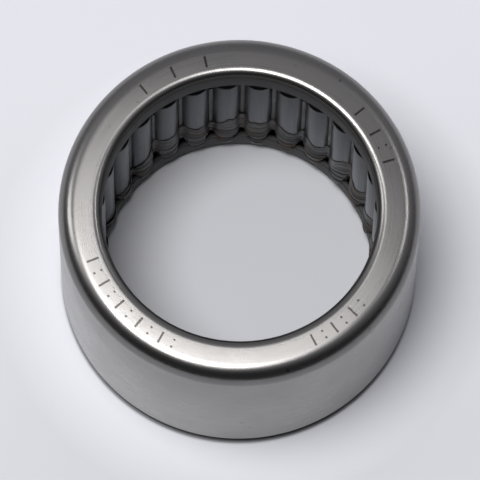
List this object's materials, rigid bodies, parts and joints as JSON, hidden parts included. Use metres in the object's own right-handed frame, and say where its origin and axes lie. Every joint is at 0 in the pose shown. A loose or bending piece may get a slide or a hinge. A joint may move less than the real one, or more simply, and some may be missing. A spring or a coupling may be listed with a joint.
{
  "type": "needle roller bearing",
  "caption": "Drawn steel cup with hooked lips at both ends, holding a full complement of trunnion-ended needle rollers that run on a shaft.",
  "frame": {"origin": "centre of the lower end of the bearing, in the plane of its lower end face", "axes": "+Z along the bearing's axis, from the lower end face to the upper; a groove between two needles faces +X"},
  "size_m": [0.0254, 0.0254, 0.0159],
  "materials": {
    "cup_steel": "satin drawn and hardened steel, fine grain round the axis",
    "needle_steel": "ground bearing steel under a film of oil",
    "grease": "dark wet grease"
  },
  "bodies": {
    "cup": {"outer_cup": "cup_steel"},
    "roller_complement": {"grease_fill": "grease"},
    "needle_01": {"needle_roller_01": "needle_steel"},
    "needle_02": {"needle_roller_02": "needle_steel"},
    "needle_03": {"needle_roller_03": "needle_steel"},
    "needle_04": {"needle_roller_04": "needle_steel"},
    "needle_05": {"needle_roller_05": "needle_steel"},
    "needle_06": {"needle_roller_06": "needle_steel"},
    "needle_07": {"needle_roller_07": "needle_steel"},
    "needle_08": {"needle_roller_08": "needle_steel"},
    "needle_09": {"needle_roller_09": "needle_steel"},
    "needle_10": {"needle_roller_10": "needle_steel"},
    "needle_11": {"needle_roller_11": "needle_steel"},
    "needle_12": {"needle_roller_12": "needle_steel"},
    "needle_13": {"needle_roller_13": "needle_steel"},
    "needle_14": {"needle_roller_14": "needle_steel"},
    "needle_15": {"needle_roller_15": "needle_steel"},
    "needle_16": {"needle_roller_16": "needle_steel"},
    "needle_17": {"needle_roller_17": "needle_steel"},
    "needle_18": {"needle_roller_18": "needle_steel"},
    "needle_19": {"needle_roller_19": "needle_steel"},
    "needle_20": {"needle_roller_20": "needle_steel"},
    "needle_21": {"needle_roller_21": "needle_steel"},
    "needle_22": {"needle_roller_22": "needle_steel"},
    "needle_23": {"needle_roller_23": "needle_steel"},
    "needle_24": {"needle_roller_24": "needle_steel"},
    "needle_25": {"needle_roller_25": "needle_steel"},
    "needle_26": {"needle_roller_26": "needle_steel"},
    "needle_27": {"needle_roller_27": "needle_steel"},
    "needle_28": {"needle_roller_28": "needle_steel"}
  },
  "joints": [
    {"name": "complement_orbit", "type": "hinge", "parent": "cup", "child": "roller_complement", "pos_m": [0, 0, 0], "axis": [0, 0, 1], "continuous": true},
    {"name": "needle_01_spin", "type": "hinge", "parent": "roller_complement", "child": "needle_01", "pos_m": [0.01066, 0.0012, 0], "axis": [0, 0, 1], "continuous": true},
    {"name": "needle_02_spin", "type": "hinge", "parent": "roller_complement", "child": "needle_02", "pos_m": [0.01012, 0.00354, 0], "axis": [0, 0, 1], "continuous": true},
    {"name": "needle_03_spin", "type": "hinge", "parent": "roller_complement", "child": "needle_03", "pos_m": [0.00908, 0.00571, 0], "axis": [0, 0, 1], "continuous": true},
    {"name": "needle_04_spin", "type": "hinge", "parent": "roller_complement", "child": "needle_04", "pos_m": [0.00758, 0.00758, 0], "axis": [0, 0, 1], "continuous": true},
    {"name": "needle_05_spin", "type": "hinge", "parent": "roller_complement", "child": "needle_05", "pos_m": [0.00571, 0.00908, 0], "axis": [0, 0, 1], "continuous": true},
    {"name": "needle_06_spin", "type": "hinge", "parent": "roller_complement", "child": "needle_06", "pos_m": [0.00354, 0.01012, 0], "axis": [0, 0, 1], "continuous": true},
    {"name": "needle_07_spin", "type": "hinge", "parent": "roller_complement", "child": "needle_07", "pos_m": [0.0012, 0.01066, 0], "axis": [0, 0, 1], "continuous": true},
    {"name": "needle_08_spin", "type": "hinge", "parent": "roller_complement", "child": "needle_08", "pos_m": [-0.0012, 0.01066, 0], "axis": [0, 0, 1], "continuous": true},
    {"name": "needle_09_spin", "type": "hinge", "parent": "roller_complement", "child": "needle_09", "pos_m": [-0.00354, 0.01012, 0], "axis": [0, 0, 1], "continuous": true},
    {"name": "needle_10_spin", "type": "hinge", "parent": "roller_complement", "child": "needle_10", "pos_m": [-0.00571, 0.00908, 0], "axis": [0, 0, 1], "continuous": true},
    {"name": "needle_11_spin", "type": "hinge", "parent": "roller_complement", "child": "needle_11", "pos_m": [-0.00758, 0.00758, 0], "axis": [0, 0, 1], "continuous": true},
    {"name": "needle_12_spin", "type": "hinge", "parent": "roller_complement", "child": "needle_12", "pos_m": [-0.00908, 0.00571, 0], "axis": [0, 0, 1], "continuous": true},
    {"name": "needle_13_spin", "type": "hinge", "parent": "roller_complement", "child": "needle_13", "pos_m": [-0.01012, 0.00354, 0], "axis": [0, 0, 1], "continuous": true},
    {"name": "needle_14_spin", "type": "hinge", "parent": "roller_complement", "child": "needle_14", "pos_m": [-0.01066, 0.0012, 0], "axis": [0, 0, 1], "continuous": true},
    {"name": "needle_15_spin", "type": "hinge", "parent": "roller_complement", "child": "needle_15", "pos_m": [-0.01066, -0.0012, 0], "axis": [0, 0, 1], "continuous": true},
    {"name": "needle_16_spin", "type": "hinge", "parent": "roller_complement", "child": "needle_16", "pos_m": [-0.01012, -0.00354, 0], "axis": [0, 0, 1], "continuous": true},
    {"name": "needle_17_spin", "type": "hinge", "parent": "roller_complement", "child": "needle_17", "pos_m": [-0.00908, -0.00571, 0], "axis": [0, 0, 1], "continuous": true},
    {"name": "needle_18_spin", "type": "hinge", "parent": "roller_complement", "child": "needle_18", "pos_m": [-0.00758, -0.00758, 0], "axis": [0, 0, 1], "continuous": true},
    {"name": "needle_19_spin", "type": "hinge", "parent": "roller_complement", "child": "needle_19", "pos_m": [-0.00571, -0.00908, 0], "axis": [0, 0, 1], "continuous": true},
    {"name": "needle_20_spin", "type": "hinge", "parent": "roller_complement", "child": "needle_20", "pos_m": [-0.00354, -0.01012, 0], "axis": [0, 0, 1], "continuous": true},
    {"name": "needle_21_spin", "type": "hinge", "parent": "roller_complement", "child": "needle_21", "pos_m": [-0.0012, -0.01066, 0], "axis": [0, 0, 1], "continuous": true},
    {"name": "needle_22_spin", "type": "hinge", "parent": "roller_complement", "child": "needle_22", "pos_m": [0.0012, -0.01066, 0], "axis": [0, 0, 1], "continuous": true},
    {"name": "needle_23_spin", "type": "hinge", "parent": "roller_complement", "child": "needle_23", "pos_m": [0.00354, -0.01012, 0], "axis": [0, 0, 1], "continuous": true},
    {"name": "needle_24_spin", "type": "hinge", "parent": "roller_complement", "child": "needle_24", "pos_m": [0.00571, -0.00908, 0], "axis": [0, 0, 1], "continuous": true},
    {"name": "needle_25_spin", "type": "hinge", "parent": "roller_complement", "child": "needle_25", "pos_m": [0.00758, -0.00758, 0], "axis": [0, 0, 1], "continuous": true},
    {"name": "needle_26_spin", "type": "hinge", "parent": "roller_complement", "child": "needle_26", "pos_m": [0.00908, -0.00571, 0], "axis": [0, 0, 1], "continuous": true},
    {"name": "needle_27_spin", "type": "hinge", "parent": "roller_complement", "child": "needle_27", "pos_m": [0.01012, -0.00354, 0], "axis": [0, 0, 1], "continuous": true},
    {"name": "needle_28_spin", "type": "hinge", "parent": "roller_complement", "child": "needle_28", "pos_m": [0.01066, -0.0012, 0], "axis": [0, 0, 1], "continuous": true}
  ],
  "couplings": [
    {"joint": "needle_01_spin", "follows": "complement_orbit", "ratio": -10.016},
    {"joint": "needle_02_spin", "follows": "complement_orbit", "ratio": -10.016},
    {"joint": "needle_03_spin", "follows": "complement_orbit", "ratio": -10.016},
    {"joint": "needle_04_spin", "follows": "complement_orbit", "ratio": -10.016},
    {"joint": "needle_05_spin", "follows": "complement_orbit", "ratio": -10.016},
    {"joint": "needle_06_spin", "follows": "complement_orbit", "ratio": -10.016},
    {"joint": "needle_07_spin", "follows": "complement_orbit", "ratio": -10.016},
    {"joint": "needle_08_spin", "follows": "complement_orbit", "ratio": -10.016},
    {"joint": "needle_09_spin", "follows": "complement_orbit", "ratio": -10.016},
    {"joint": "needle_10_spin", "follows": "complement_orbit", "ratio": -10.016},
    {"joint": "needle_11_spin", "follows": "complement_orbit", "ratio": -10.016},
    {"joint": "needle_12_spin", "follows": "complement_orbit", "ratio": -10.016},
    {"joint": "needle_13_spin", "follows": "complement_orbit", "ratio": -10.016},
    {"joint": "needle_14_spin", "follows": "complement_orbit", "ratio": -10.016},
    {"joint": "needle_15_spin", "follows": "complement_orbit", "ratio": -10.016},
    {"joint": "needle_16_spin", "follows": "complement_orbit", "ratio": -10.016},
    {"joint": "needle_17_spin", "follows": "complement_orbit", "ratio": -10.016},
    {"joint": "needle_18_spin", "follows": "complement_orbit", "ratio": -10.016},
    {"joint": "needle_19_spin", "follows": "complement_orbit", "ratio": -10.016},
    {"joint": "needle_20_spin", "follows": "complement_orbit", "ratio": -10.016},
    {"joint": "needle_21_spin", "follows": "complement_orbit", "ratio": -10.016},
    {"joint": "needle_22_spin", "follows": "complement_orbit", "ratio": -10.016},
    {"joint": "needle_23_spin", "follows": "complement_orbit", "ratio": -10.016},
    {"joint": "needle_24_spin", "follows": "complement_orbit", "ratio": -10.016},
    {"joint": "needle_25_spin", "follows": "complement_orbit", "ratio": -10.016},
    {"joint": "needle_26_spin", "follows": "complement_orbit", "ratio": -10.016},
    {"joint": "needle_27_spin", "follows": "complement_orbit", "ratio": -10.016},
    {"joint": "needle_28_spin", "follows": "complement_orbit", "ratio": -10.016}
  ]
}
